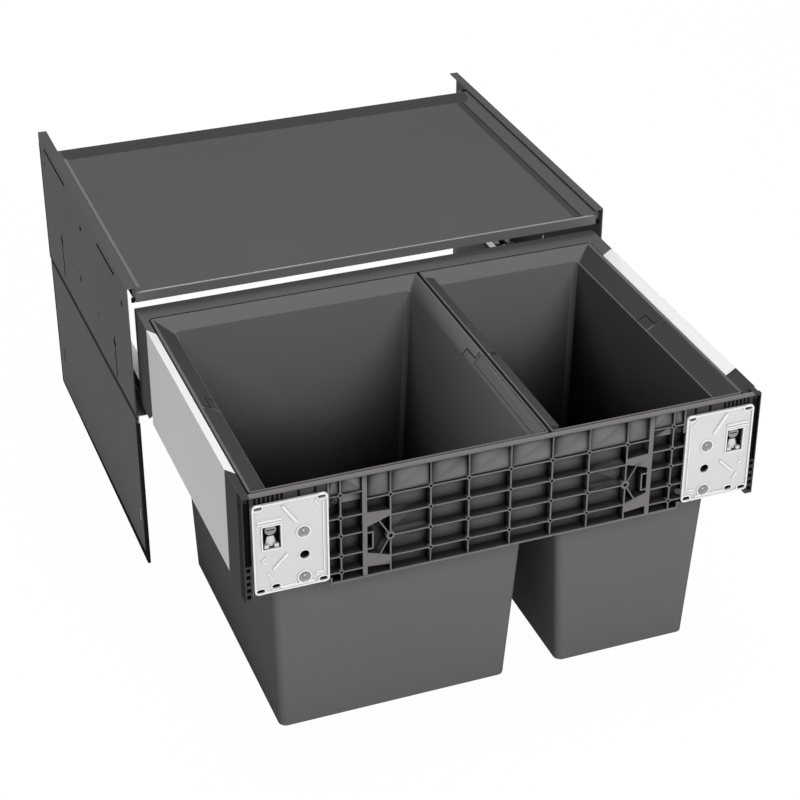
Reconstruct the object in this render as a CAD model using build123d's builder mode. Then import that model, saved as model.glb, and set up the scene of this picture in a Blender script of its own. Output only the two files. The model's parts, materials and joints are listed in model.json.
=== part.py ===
# Pull-out waste sorter for a base cabinet, shown with its drawer pulled out.
# x runs across the cabinet, y from the front towards the back, z up from the cabinet floor.
from build123d import *
import os

os.makedirs("parts", exist_ok=True)

# Driving dimensions, in millimetres
unit_width = 562.0        # inside width of a 600 mm cabinet with 19 mm walls
panel_depth = 447.0
panel_height = 358.0
sheet = 1.2               # panels, lid and rails
panel_flange = 10.5       # top edge of a panel, turned inwards
seam_drop = 160.5         # panel top to the lower edge of the upper panel, at the front
seam_fall = 12.5          # this edge falls so far towards the back
panel_overlap = 17.0      # lower panel reaches this far up behind the upper one
drawer_gap = 8.8          # panel outer face to drawer outer face
drawer_drop = 29.0        # drawer top below the panel top
drawer_travel = 386.0
front_proud = 2.1         # front frame stands this far out of the panels when closed
front_height = 119.4
front_depth = 14.0
top_depth = 5.0           # front frame is this thin along its top edge
plastic = 2.4
rib = 1.6
corner_length = 39.8      # plastic corners between front frame and steel side
rear_corner = 33.7
rim_slope_width = 10.6    # sloping top of the drawer sides
rim_slope_drop = 6.9
rear_depth = 18.0
rear_overhang = 8.0       # rear panel stays this far inside the panels when open
plate_width = 75.0
plate_height = 101.0
plate_thick = 1.9
plate_edge = 8.8          # plate edge to drawer outer face
dome_height = 1.6
bin_gap_x = 47.8          # line between the two bins
bin_wall = 2.4
rim_depth = 13.0          # depth of the sloping bin rim
bin_floor_z = 11.0
bin_corner = 6.0          # inside radius of the upright corners
handle_reach = 207.0      # handle pivot in front of the panels
pin_r = 1.5
lid_depth = 387.0
lid_lip = 10.5
roller_r = 2.95

# Derived positions
half = unit_width / 2
reach = drawer_travel + front_proud + plate_thick + dome_height
panel_y = (reach - panel_depth) / 2          # front edges of the panels
back_y = panel_y + panel_depth
drawer_half = half - drawer_gap
seam_front = panel_height - seam_drop
seam_back = seam_front - seam_fall
drawer_top = panel_height - drawer_drop
front_bottom = drawer_top - front_height
front_y = panel_y - drawer_travel - front_proud
frame_back = front_y + front_depth
rear_y = panel_y + rear_overhang
rear_front = rear_y - rear_depth
side_front = frame_back + corner_length
side_back = rear_front - rear_corner
side_length = side_back - side_front
side_inner = drawer_half - rim_slope_width
rim_top = drawer_top - rim_slope_drop + 0.9
rest_z = rim_top - 11.0                       # ledges that carry the bins
side_bottom = front_bottom + 2.2
rail_inner = drawer_half - 24.2
rail_outer = drawer_half - 4.2
ledge_z = side_bottom + 14.8                  # underside of the drawer side's ledge
rail_top = ledge_z - sheet
middle_top = rail_top - 2 * roller_r - 0.1
middle_bottom = middle_top - 14.0
track_top = middle_bottom - 2 * roller_r - 0.1
track_z = track_top - sheet
lower_top = min(seam_front, seam_back) + panel_overlap
leg_x = half - 2 * sheet                      # inner face of the lower panel
tab_z = panel_height - 11.9                   # top of the tabs under the lid
lid_half = half - 6.4
lid_top = panel_height - 6.3
lid_rise = 4.0


def plane_at(y):
    """Upright plane across the cabinet; extruding from it runs towards the front."""
    return Plane.XZ.offset(-y)


def strip(points, thick):
    """Outline of a bent sheet that follows the points, with its thickness on the left."""
    moved = []
    for i, (x, z) in enumerate(points):
        steps = []
        for a, b in ((i - 1, i), (i, i + 1)):
            if a >= 0 and b < len(points):
                dx, dz = points[b][0] - points[a][0], points[b][1] - points[a][1]
                long = (dx * dx + dz * dz) ** 0.5
                steps.append((-dz / long, dx / long))
        n = [sum(s[k] for s in steps) for k in (0, 1)]
        scale = thick / (n[0] * steps[0][0] + n[1] * steps[0][1])
        moved.append((x + n[0] * scale, z + n[1] * scale))
    return list(points) + moved[::-1]


def bar(x0, x1, y0, y1, z0, z1, mode=Mode.ADD):
    """Plain block between two corners."""
    with Locations(((x0 + x1) / 2, (y0 + y1) / 2, (z0 + z1) / 2)):
        Box(abs(x1 - x0), abs(y1 - y0), abs(z1 - z0), mode=mode)


def profile(points, y0, y1, mode=Mode.ADD):
    """Outline in x and z, run from y0 to y1."""
    with BuildSketch(plane_at(y1)) as face:
        with BuildLine():
            Polyline(*points, close=True)
        make_face()
    extrude(face.sketch, amount=y1 - y0, mode=mode)


def tapered_block(low, high, radius=0.0):
    """Block between two rectangles (x0, x1, y0, y1, z), with its upright edges rounded if asked."""
    (a0, a1, b0, b1, z0), (c0, c1, d0, d1, z1) = low, high
    with BuildPart() as block:
        profile([(a0, z0), (a1, z0), (c1, z1), (c0, z1)], min(b0, d0), max(b1, d1))
        with BuildSketch(Plane.YZ.offset(min(a0, c0))) as side:
            with BuildLine():
                Polyline((b0, z0), (b1, z0), (d1, z1), (d0, z1), close=True)
            make_face()
        extrude(side.sketch, amount=max(a1, c1) - min(a0, c0), mode=Mode.INTERSECT)
        if radius:
            fillet([e for e in block.edges() if abs((e @ 0).Z - (e @ 1).Z) > 0.5], radius)
    return block.part


def save(builder, name):
    builder.part.label = name
    export_step(builder.part, f"parts/{name}.step")


def save_pair(builder, name):
    """Save the right-hand piece and its mirror image on the left."""
    save(builder, f"right_{name}")
    with BuildPart() as other:
        mirror(builder.part, about=Plane.YZ)
    save(other, f"left_{name}")


# Upper side panel: flat sheet, flange along the top, tabs lanced inwards for the lid
tab_rows = ((panel_y + 58.0, 81.0), (panel_y + 304.0, 112.0))
screw_ys = (panel_y + 29.0, panel_y + 420.0)
screw_z = panel_height - 31.5
with BuildPart() as side_panel:
    profile(strip([(half, min(seam_front, seam_back)), (half, panel_height),
                   (half - panel_flange, panel_height)], sheet), panel_y, back_y)
    with BuildSketch(Plane.YZ.offset(half - 2 * sheet)):
        with BuildLine():
            Polyline((panel_y - 1, seam_front), (back_y + 1, seam_back),
                     (back_y + 1, seam_back - 40), (panel_y - 1, seam_back - 40), close=True)
        make_face()
    extrude(amount=3 * sheet, mode=Mode.SUBTRACT)
    for y, length in tab_rows:
        bar(half - 2 * sheet, half + 1, y, y + length, tab_z, tab_z + 2.0, Mode.SUBTRACT)
        bar(lid_half - 6.0, half - sheet, y, y + length, tab_z - sheet, tab_z)
    with BuildSketch(Plane.YZ.offset(half - 2 * sheet)):
        with Locations(*[(y, screw_z) for y in screw_ys]):
            Circle(2.5)
        with Locations((panel_y + 225.0, screw_z)):
            Circle(2.5)
        with Locations((panel_y + 82.0, seam_front + 33.0), (panel_y + 350.0, seam_front + 33.0)):
            Rectangle(1.6, 52.0)
        with Locations((panel_y + 13.0, screw_z - 78.0), (panel_y + 158.0, screw_z - 78.0),
                       (panel_y + 289.0, screw_z - 77.0)):
            Rectangle(3.0, 6.0)
    extrude(amount=3 * sheet, mode=Mode.SUBTRACT)
save_pair(side_panel, "side_panel")

# Lower side panel: stands on its turned-in foot and reaches up behind the upper panel
foot = 12.0
with BuildPart() as lower_panel:
    profile(strip([(half - sheet - foot, 0.0), (half - sheet, 0.0), (half - sheet, lower_top)], sheet),
            panel_y, back_y)
    with BuildSketch(Plane.YZ.offset(half - 3 * sheet)):
        with Locations((panel_y + 25.0, 52.0), (panel_y + 415.0, 56.0)):
            Rectangle(6.0, 20.0)
    extrude(amount=4 * sheet, mode=Mode.SUBTRACT)
save_pair(lower_panel, "lower_panel")

# Cabinet rail: open track under the drawer side, with a leg against the lower panel
with BuildPart() as cabinet_rail:
    bar(rail_inner, leg_x, panel_y, back_y - 5, track_z, track_top)
    bar(rail_inner, rail_inner + sheet, panel_y, back_y - 5, track_top, track_top + 9.0)
    bar(rail_outer - sheet, rail_outer, panel_y, back_y - 5, track_top, track_top + 9.0)
    bar(leg_x - sheet, leg_x, panel_y, back_y - 5, track_z - 18.0, track_z)
save_pair(cabinet_rail, "cabinet_rail")

# Hexagon bolts through both panels and the rail's leg
bolt_ys = (panel_y + 45.0, panel_y + 400.0)
bolt_z = track_z - 8.0
with BuildPart() as rail_bolts:
    with BuildSketch(Plane.YZ.offset(leg_x - sheet - 1.4)):
        with Locations(*[(y, bolt_z) for y in bolt_ys]):
            RegularPolygon(3.2, 6)
    extrude(amount=1.4)
save_pair(rail_bolts, "rail_bolts")

# Damper housing that slows the drawer over the last stretch, under the track
with BuildPart() as damper:
    bar(rail_inner + 2, rail_outer - 2, panel_y + 250, panel_y + 380, track_z - 12.0, track_z)
    edges = damper.edges().filter_by(Axis.Y).group_by(Axis.Z)[0]
    fillet(edges, 4.0)
save_pair(damper, "damper")

# Middle rail: closed tube, half way between cabinet rail and drawer rail
middle_front = panel_y + 18.0 - drawer_travel / 2
middle_back = panel_y + 405.0 - drawer_travel / 2
middle_x0, middle_x1 = rail_inner + sheet + 1.8, rail_outer - sheet - 1.8
with BuildPart() as middle_rail:
    bar(middle_x0, middle_x1, middle_front, middle_back, middle_bottom, middle_top)
    bar(middle_x0 + sheet, middle_x1 - sheet, middle_front - 1, middle_back + 1,
        middle_bottom + sheet, middle_top - sheet, Mode.SUBTRACT)
save_pair(middle_rail, "middle_rail")

# Drawer rail: upside-down channel, fixed under the ledge of the drawer side
with BuildPart() as drawer_rail:
    profile(strip([(rail_outer, ledge_z - 13.4), (rail_outer, ledge_z), (rail_inner, ledge_z),
                   (rail_inner, ledge_z - 13.4)], sheet), side_front, side_back)
save_pair(drawer_rail, "drawer_rail")


# Rollers and their cages; each set travels half as far as the rail it carries
def roller_set(y0, y1, z, count):
    pitch = (y1 - y0) / count
    ys = [y0 + pitch * (i + 0.5) for i in range(count)]
    with BuildPart() as cage:
        bar(middle_x0 + 0.6, middle_x1 - 0.6, y0, y1, z - 0.9, z + 0.9)
        for y in ys:
            bar(middle_x0 + 2.0, middle_x1 - 2.0, y - roller_r - 0.3, y + roller_r + 0.3,
                z - 1, z + 1, Mode.SUBTRACT)
    with BuildPart() as rollers:
        for y in ys:
            with Locations(Location(((middle_x0 + middle_x1) / 2, y, z), (0, 90, 0))):
                Cylinder(roller_r, middle_x1 - middle_x0 - 4.4)
    return cage, rollers


lower_cage, lower_rollers = roller_set(panel_y + 12, panel_y + 192, track_top + roller_r + 0.05, 2)
save_pair(lower_cage, "lower_cage")
save_pair(lower_rollers, "lower_rollers")
upper_cage, upper_rollers = roller_set(side_back - 130, side_back - 4, middle_top + roller_r + 0.05, 2)
save_pair(upper_cage, "upper_cage")
save_pair(upper_rollers, "upper_rollers")

# Lid shelf: tray with sloping borders, side flanges on the tabs and a lip along the front
slope_w, back_slope = 14.0, 22.0
lid_back = panel_y + lid_depth
with BuildPart() as lid_pan:
    for inset, back, z in ((slope_w, back_slope, lid_top), (sheet, sheet, lid_top + lid_rise)):
        with BuildSketch(Plane.XY.offset(z)):
            with Locations((0, (panel_y - 20 + lid_back - back) / 2)):
                Rectangle(2 * (lid_half - inset), lid_back - back - panel_y + 20)
    loft(ruled=True)
with BuildPart() as lid_shelf:
    bar(-lid_half, lid_half, panel_y, lid_back, tab_z, lid_top + lid_rise)
    add(lid_pan.part, mode=Mode.SUBTRACT)
    bar(sheet - lid_half, lid_half - sheet, panel_y + sheet, lid_back - sheet, tab_z - 1, lid_top - sheet,
        Mode.SUBTRACT)
    bar(-lid_half, lid_half, panel_y, panel_y + sheet, lid_top - lid_lip, tab_z)
save(lid_shelf, "lid_shelf")

# Steel drawer side, with the tunnel that hides the runner
side_points = [(drawer_half, side_bottom), (drawer_half, drawer_top),
               (side_inner, drawer_top - rim_slope_drop), (side_inner, ledge_z + sheet),
               (rail_inner - 1.6, ledge_z + sheet), (rail_inner - 1.6, side_bottom)]
with BuildPart() as drawer_side:
    profile(strip(side_points, sheet), side_front, side_back)
save_pair(drawer_side, "drawer_side")

# Plastic corners in front of and behind the steel side, with the same outline
corner_points = [(drawer_half, front_bottom), (drawer_half, drawer_top),
                 (side_inner, drawer_top - rim_slope_drop), (side_inner, ledge_z + plastic),
                 (rail_inner - 1.6, ledge_z + plastic), (rail_inner - 1.6, side_bottom)]
with BuildPart() as front_corner:
    profile(strip(corner_points, sheet), frame_back, side_front)
save_pair(front_corner, "front_corner")
with BuildPart() as rear_corner_piece:
    profile(strip(corner_points, sheet), side_back, rear_front)
    with BuildSketch(Plane.YZ.offset(drawer_half - 2 * sheet)):
        with BuildLine():
            Polyline((side_back - 1, front_bottom - 1), (side_back + 18, front_bottom - 1),
                     (side_back - 1, front_bottom + 14), close=True)
        make_face()
    extrude(amount=3 * sheet, mode=Mode.SUBTRACT)
save_pair(rear_corner_piece, "rear_corner")

# Rear panel: hollow beam with sloping, mitred top edges and openings for the runners
rim_low = drawer_top - rim_slope_drop
with BuildPart() as rear_bevel:
    with BuildSketch(Plane.YZ.offset(-half)):
        with BuildLine():
            Polyline((rear_y, drawer_top), (rear_front, rim_low), (rear_front - 1, rim_low),
                     (rear_front - 1, drawer_top), close=True)
        make_face()
    extrude(amount=2 * half)
    profile([(-drawer_half, drawer_top), (-side_inner, rim_low), (side_inner, rim_low),
             (drawer_half, drawer_top)], rear_front - 1, rear_y, Mode.INTERSECT)
with BuildPart() as rear_panel:
    bar(-drawer_half, drawer_half, rear_front, rear_y, front_bottom, drawer_top)
    add(rear_bevel.part, mode=Mode.SUBTRACT)
    for s in (-1, 1):
        bar(s * (rail_inner - 1.0), s * (drawer_half - sheet), rear_front - 1, rear_y + 1,
            front_bottom - 1, ledge_z + sheet, Mode.SUBTRACT)
    bar(6 - rail_inner, rail_inner - 6, rear_front + plastic, rear_y - plastic,
        front_bottom - 1, rim_low - 6, Mode.SUBTRACT)
    for i in range(-4, 5):
        bar(i * 50.0 - rib / 2, i * 50.0 + rib / 2, rear_front + 1, rear_y - 1,
            front_bottom + 4, rim_low - 4)
    bar(6 - side_inner, side_inner - 6, rear_front - 4.0, rear_front, rest_z - 5.0, rest_z)
save(rear_panel, "rear_panel")

# Front plates sit on pads at both ends of the front frame
plate_x1 = drawer_half - plate_edge
plate_x0 = plate_x1 - plate_width
plate_x = (plate_x0 + plate_x1) / 2
plate_z = front_bottom + 58.9
slot_dx, slot_dz = plate_width / 2 - 6.1, plate_height / 2 - 3.2
plate_slots = [(plate_x + i * slot_dx, plate_z + j * slot_dz) for i in (-1, 1) for j in (-1, 1)]
plate_slots.append((plate_x1 - 21.4, plate_z - slot_dz + 2.8))
screw_points = [(plate_x - 12.6, plate_z + 11.6), (plate_x - 12.6, plate_z - 40.4)]
hole_point = (plate_x - 13.2, plate_z - 15.0)
window_x, window_z, window_w, window_h = plate_x + 18.8, plate_z + 12.1, 17.6, 25.6
adjuster_z = window_z + 6.4

# Front frame: shallow top row, four deep rows of ribs, and a stiffened cell around two large bosses
row_z = [drawer_top - 29.0 - 23.7 * i for i in range(4)]
col_x = [0.0, 44.0, 83.6]
boss_x, boss_z = 125.0, row_z[2]
pillar_x, outer_x = 151.2, 175.4
outer_rows = [drawer_top - d for d in (18.9, 44.8, 65.6, 88.7, 107.3)]
band_x = plate_x0 - 2.0                       # solid band over the plates starts here
rib_zone = plate_x0 + 5.0                     # deep cells reach in behind the plates
comb_x = [plate_x0 + 11.1, plate_x0 + 27.3] + [plate_x0 + 44.0 + 4.4 * i for i in range(7)]
plate_low = front_bottom + 6.4                # underside of the frame behind the plates
hole_row = [front_bottom + 6.0 + 7.65 * i for i in range(5)]
sides = (-1, 1)

# Outlines in the stiffened cell, as (x from the boss towards the pillar, z over the boss)
cell = pillar_x - boss_x
clip_x = cell - 8.1
upper_gusset = [(0, 24.6), (0, 29.4), (cell, 31.2), (cell, 15.3)]
lower_gusset = [(0, -32.4), (0, -23.4), (cell, -14.7), (cell, -29.7)]
cell_lines = [((0, 24.6), (cell, 15.3)), ((0, 29.4), (cell, 31.2)), ((0, -23.4), (cell, -14.7)),
              ((0, -32.4), (cell, -29.7)), ((0, 0), (12.0, 20.5)), ((0, 0), (11.0, -19.5)),
              ((clip_x, 8.4), (cell, 8.4)), ((clip_x, -10.4), (cell, -10.4)),
              ((clip_x, -11.2), (clip_x, 9.2))]


def at_boss(s, points):
    """Face with the given corners beside the boss on one side of the front frame."""
    with BuildLine() as outline:
        Polyline(*[(s * (boss_x + x), boss_z + z) for x, z in points], close=True)
    make_face(outline.edges())


def cut_front(depth):
    """Cut the sketch just drawn on the front of the frame down to a depth."""
    extrude(amount=-depth, mode=Mode.SUBTRACT)


with BuildPart() as front_frame:
    bar(-drawer_half, drawer_half, front_y, frame_back, front_bottom, drawer_top)
    bar(-band_x, band_x, front_y - 1, front_y + top_depth - 2.0, row_z[0], drawer_top - plastic,
        Mode.SUBTRACT)
    bar(-drawer_half, drawer_half, front_y + top_depth, frame_back + 1, rest_z + 2.0, drawer_top + 1,
        Mode.SUBTRACT)
    bar(-rib_zone, rib_zone, front_y - 1, frame_back - plastic, front_bottom + plastic, row_z[0],
        Mode.SUBTRACT)
    for s in sides:
        bar(s * band_x, s * (drawer_half - 8.0), front_y - 1, frame_back + 1, front_bottom - 1, plate_low,
            Mode.SUBTRACT)
    columns = [s * x for s in sides for x in col_x[1:] + [boss_x, outer_x]] + [0.0]
    deep_z, deep_height = (front_bottom + row_z[0]) / 2, row_z[0] - front_bottom
    with BuildSketch(plane_at(frame_back)):
        with Locations(*[(x, deep_z) for x in columns]):
            Rectangle(rib, deep_height)
        with Locations(*[(s * pillar_x, deep_z) for s in sides]):
            Rectangle(3 * rib, deep_height)
        with Locations(*[(0, z) for z in row_z[1:]]):
            Rectangle(2 * boss_x, rib)
        with Locations((0, row_z[0])):
            Rectangle(2 * pillar_x, rib)
        with Locations(*[(s * (pillar_x + rib_zone) / 2, z) for s in sides for z in outer_rows[1:]]):
            Rectangle(rib_zone - pillar_x, rib)
        with Locations(*[(s * (band_x + rib_zone) / 2, plate_low + rib / 2) for s in sides]):
            Rectangle(rib_zone - band_x + 2 * rib, rib)
        with Locations(*[(s * (band_x - rib / 2), (front_bottom + plate_low + rib) / 2) for s in sides]):
            Rectangle(rib, plate_low + rib - front_bottom)
        for s in sides:
            for (x0, z0), (x1, z1) in cell_lines:
                flat = abs(x1 - x0) >= abs(z1 - z0)
                dx, dz = (0.0, rib / 2) if flat else (rib / 2, 0.0)
                at_boss(s, [(x0 - dx, z0 - dz), (x0 + dx, z0 + dz),
                            (x1 + dx, z1 + dz), (x1 - dx, z1 - dz)])
        with Locations(*[(s * boss_x, boss_z) for s in sides]):
            Circle(4.2)
            Circle(2.2, mode=Mode.SUBTRACT)
    extrude(amount=front_depth)
    with BuildSketch(plane_at(front_y + plastic)):
        for s in sides:
            at_boss(s, upper_gusset)
            at_boss(s, lower_gusset)
    extrude(amount=plastic)
    with BuildSketch(plane_at(front_y + top_depth)):
        with Locations(*[(x, (row_z[0] + drawer_top) / 2) for x in columns]):
            Rectangle(rib, drawer_top - row_z[0])
        with Locations(*[(s * pillar_x, (row_z[0] + drawer_top) / 2) for s in sides]):
            Rectangle(3 * rib, drawer_top - row_z[0])
        with Locations(*[(s * (pillar_x + band_x) / 2, outer_rows[0]) for s in sides]):
            Rectangle(band_x - pillar_x, rib)
    extrude(amount=top_depth)
    gap_z0, gap_z1 = front_bottom + 41.0, drawer_top - plastic
    with BuildSketch(plane_at(front_y)):
        with Locations(*[(s * (drawer_half - 4.4), (gap_z0 + gap_z1) / 2) for s in sides]):
            Rectangle(6.4, gap_z1 - gap_z0)
    cut_front(front_depth - plastic)
    with BuildSketch(plane_at(front_y)):
        with Locations(*[(s * (drawer_half - 3.8), z) for s in sides for z in hole_row]):
            Rectangle(4.0, 4.4)
    cut_front(8.0)
    comb_z0, comb_z1 = plate_z + plate_height / 2 - 4.0, drawer_top - plastic - 1.2
    with BuildSketch(plane_at(front_y)):
        with Locations(*[(s * x, (comb_z0 + comb_z1) / 2) for s in sides for x in comb_x]):
            Rectangle(2.2, comb_z1 - comb_z0)
    cut_front(top_depth - 2.0)
    with BuildSketch(plane_at(front_y)):
        with Locations(*[(s * window_x, window_z) for s in sides]):
            Rectangle(window_w, window_h)
    cut_front(6.0)
    with BuildSketch(plane_at(front_y)):
        with Locations(*[(s * x, z) for s in sides for x, z in plate_slots]):
            Rectangle(12.0, 9.0)
        with Locations(*[(s * hole_point[0], hole_point[1]) for s in sides]):
            Rectangle(12.0, 12.0)
        with Locations(*[(s * x, z) for s in sides for x, z in screw_points]):
            Circle(3.0)
    cut_front(front_depth + 1)
    with BuildSketch(plane_at(front_y)):
        with Locations(*[(s * window_x, adjuster_z) for s in sides]):
            Circle(3.05)
    cut_front(12.2)
    bar(6 - side_inner, side_inner - 6, frame_back, frame_back + 4.0, rest_z - 5.0, rest_z)
save(front_frame, "front_frame")

# Zinc front plate: slots for the screws of a door front, window for the adjuster
with BuildPart() as front_plate:
    with BuildSketch(plane_at(front_y)):
        with Locations((plate_x, plate_z)):
            RectangleRounded(plate_width, plate_height, 4.0)
        with Locations(*plate_slots):
            SlotOverall(8.0, 4.8, mode=Mode.SUBTRACT)
        with Locations(hole_point):
            Circle(4.8, mode=Mode.SUBTRACT)
        with Locations(*screw_points):
            Circle(3.0, mode=Mode.SUBTRACT)
        with Locations((window_x, window_z)):
            Rectangle(window_w, window_h, mode=Mode.SUBTRACT)
    extrude(amount=plate_thick)
save_pair(front_plate, "front_plate")

# Domed screws that hold the plate to the front frame
with BuildPart() as plate_screws:
    with BuildSketch(plane_at(front_y - plate_thick)):
        with Locations(*screw_points):
            Circle(5.5)
    extrude(amount=dome_height)
    with BuildSketch(plane_at(front_y + 8.0)):
        with Locations(*screw_points):
            Circle(2.8)
    extrude(amount=8.0 + plate_thick)
save_pair(plate_screws, "plate_screws")

# Height adjuster: slotted screw that turns in the front frame behind the window
with BuildPart() as adjuster:
    with Locations(Location((window_x, front_y + 3.5, adjuster_z), (90, 0, 0))):
        Cylinder(5.6, 4.8)
    with Locations(Location((window_x, front_y + 8.7, adjuster_z), (90, 0, 0))):
        Cylinder(3.0, 6.4)
    bar(window_x - 4.2, window_x + 4.2, front_y, front_y + 2.4, adjuster_z - 0.7, adjuster_z + 0.7,
        Mode.SUBTRACT)
save_pair(adjuster, "adjuster")

# Hook under the adjuster: bent strip on the floor of the window pocket
with BuildPart() as hook:
    with BuildSketch(Plane.YZ.offset(window_x - 5.0)):
        with BuildLine():
            Polyline(*strip([(front_y + 6.0, window_z - 0.6), (front_y + 6.0, window_z - 11.0),
                             (front_y + 1.2, window_z - 11.0), (front_y - 0.6, window_z - 4.0)], -1.4),
                     close=True)
        make_face()
    extrude(amount=10.0)
save_pair(hook, "hook")

# Bins: tapered bodies that hang by a sloping rim, and a handle that folds down into the rim
edge_z = rim_top - rim_depth
shell = 6.0
lip = 2.4
handle_y = panel_y - handle_reach
rim_y0, rim_y1 = frame_back + 1.5, rear_front - 1.0
layer = 2.6


def grow(box, d):
    """Rectangle (x0, x1, y0, y1) grown by d on every side."""
    return (box[0] - d, box[1] + d, box[2] - d, box[3] + d)


def make_bin(x0, x1, edges, taper):
    """Bin with rim from x0 to x1; edges and taper are its left and right insets."""
    rim = (x0, x1, rim_y0, rim_y1)
    mouth = (x0 + edges[0], x1 - edges[1], rim_y0 + 10.6, rim_y1 - 14.0)
    base = (mouth[0] + taper[0], mouth[1] - taper[1], mouth[2] + 18.0, mouth[3] - 4.0)
    inside = grow(base, -bin_wall)
    mouth_outside = grow(mouth, bin_wall)
    rim_inside = grow(rim, -lip)
    legs = [(mouth[0], x0 + lip, -1), (mouth[1], x1 - lip, 1)]
    bow = (mouth[2], rim_y0 + lip, -1)

    def layer_points(side, gap):
        """Outline of the handle on one sloping side, or of its recess when gap is not zero."""
        start, end, s = side
        points = []
        for t in (start + s * (3.0 - gap), end - s * (0.4 - 1.25 * gap)):
            points.append((t, edge_z + rim_depth * (t - start) / (end - start)))
        (t0, z0), (t1, z1) = points
        top = [(t0, rim_top + 1), (t1, rim_top + 1)] if gap else [(t0, z0), (t1, z1)]
        return top + [(t1, z1 - layer - gap), (t0, z0 - layer - gap)]

    def fold_down(gap, back, mode):
        """Both legs and the bow of the handle, up to back behind the pivot."""
        for side in legs:
            profile(layer_points(side, gap), bow[0] - 5.0 - gap, handle_y + back, mode)
        inset = lip + 0.4 - 1.25 * gap
        with BuildSketch(Plane.YZ.offset(x0 + inset)) as face:
            with BuildLine():
                Polyline(*layer_points(bow, gap), close=True)
            make_face()
        extrude(face.sketch, amount=x1 - x0 - 2 * inset, mode=mode)

    pin_z = rim_top - 1.7
    with BuildPart() as skirt:
        add(tapered_block((*rim, rest_z), (*rim, rim_top), 4.0))
        add(tapered_block((*rim_inside, rest_z - 1), (*rim_inside, rim_top - shell)), mode=Mode.SUBTRACT)
    with BuildPart() as body:
        add(tapered_block((*base, bin_floor_z), (*mouth_outside, edge_z), bin_corner + bin_wall))
        add(tapered_block((*mouth_outside, edge_z - shell), (*grow(rim, -1.5), rim_top - shell)))
        add(skirt.part)
        add(tapered_block((*mouth, edge_z), (*rim_inside, rim_top)), mode=Mode.SUBTRACT)
        add(tapered_block((*inside, bin_floor_z + bin_wall), (*mouth, edge_z), bin_corner),
            mode=Mode.SUBTRACT)
        fold_down(0.4, pin_r + 0.6, Mode.SUBTRACT)
        for x in (x0 + lip, x1 - lip):
            with Locations(Location((x, handle_y, pin_z), (0, 90, 0))):
                Cylinder(pin_r + 0.05, 4.0, mode=Mode.SUBTRACT)
    with BuildPart() as handle:
        fold_down(0.0, 0.3, Mode.ADD)
        for x in (x0 + lip, x1 - lip):
            with Locations(Location((x, handle_y, pin_z), (0, 90, 0))):
                Cylinder(pin_r, 3.6)
    return body, handle


large_bin, large_handle = make_bin(1.6 - side_inner, bin_gap_x - 1.0, (22.3, 13.5), (8.3, 13.0))
small_bin, small_handle = make_bin(bin_gap_x + 1.0, side_inner - 1.6, (12.8, 22.6), (18.3, 6.0))
save(large_bin, "large_bin")
save(large_handle, "large_handle")
save(small_bin, "small_bin")
save(small_handle, "small_handle")
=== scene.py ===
# %% [markdown]
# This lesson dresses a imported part, a pull-out waste sorter for a kitchen base cabinet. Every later
# cell adds a finish or a piece and leaves the solids where they are.

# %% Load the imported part
import bpy
import bmesh
import json
import math
from mathutils import Matrix, Vector


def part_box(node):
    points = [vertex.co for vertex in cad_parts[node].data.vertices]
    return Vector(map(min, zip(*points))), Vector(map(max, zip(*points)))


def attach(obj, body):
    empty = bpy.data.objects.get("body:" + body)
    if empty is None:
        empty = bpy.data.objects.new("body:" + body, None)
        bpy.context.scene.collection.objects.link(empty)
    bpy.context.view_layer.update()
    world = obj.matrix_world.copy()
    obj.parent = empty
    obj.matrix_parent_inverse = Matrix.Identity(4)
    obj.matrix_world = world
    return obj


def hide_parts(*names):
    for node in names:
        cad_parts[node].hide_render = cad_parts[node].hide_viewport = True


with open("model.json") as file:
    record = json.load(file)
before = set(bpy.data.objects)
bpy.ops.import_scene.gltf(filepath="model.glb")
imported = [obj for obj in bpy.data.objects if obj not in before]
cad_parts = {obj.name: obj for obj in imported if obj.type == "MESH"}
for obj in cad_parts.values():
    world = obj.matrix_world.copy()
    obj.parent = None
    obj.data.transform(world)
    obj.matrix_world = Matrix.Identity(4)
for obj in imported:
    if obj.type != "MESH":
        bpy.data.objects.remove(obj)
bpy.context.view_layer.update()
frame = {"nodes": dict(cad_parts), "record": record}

nodes = frame["nodes"]

# %% [markdown]
# The real unit is an anthracite waste sorter on runners, photographed with its drawer out.
# Most pieces are measured from the frame, so a helper reads the places that later cells share: the
# front face of the drawer, its top edge, and the outline of the side panels. Small offsets are written
# in millimetres. Many pieces come in pairs, so a list of the two sides gives the sign of x and the first
# word of the name.

# %% Places read from the frame
MM = 0.001
SIDES = ((-1, "left_"), (1, "right_"))


def node_box(name):
    """Lowest and highest corner of a CAD node."""
    low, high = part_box(name)
    return Vector(low), Vector(high)


drawer_corner = node_box("front_frame")[1]
plate_low, plate_high = node_box("right_front_plate")
panel_low, panel_high = node_box("right_side_panel")
front_y = plate_high.y
drawer_half, drawer_top = drawer_corner.x, drawer_corner.z
panel_front, panel_back, panel_x = panel_low.y, panel_high.y, panel_high.x
print("front face at", round(front_y, 4), "panel fronts at", round(panel_front, 4))

# %% [markdown]
# The coated sheet and the moulded plastics all have a fine grain. One node group makes it: noise in
# Object coordinates gives a height for a bump, and a slow second noise gives a slight change of tone.

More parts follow.
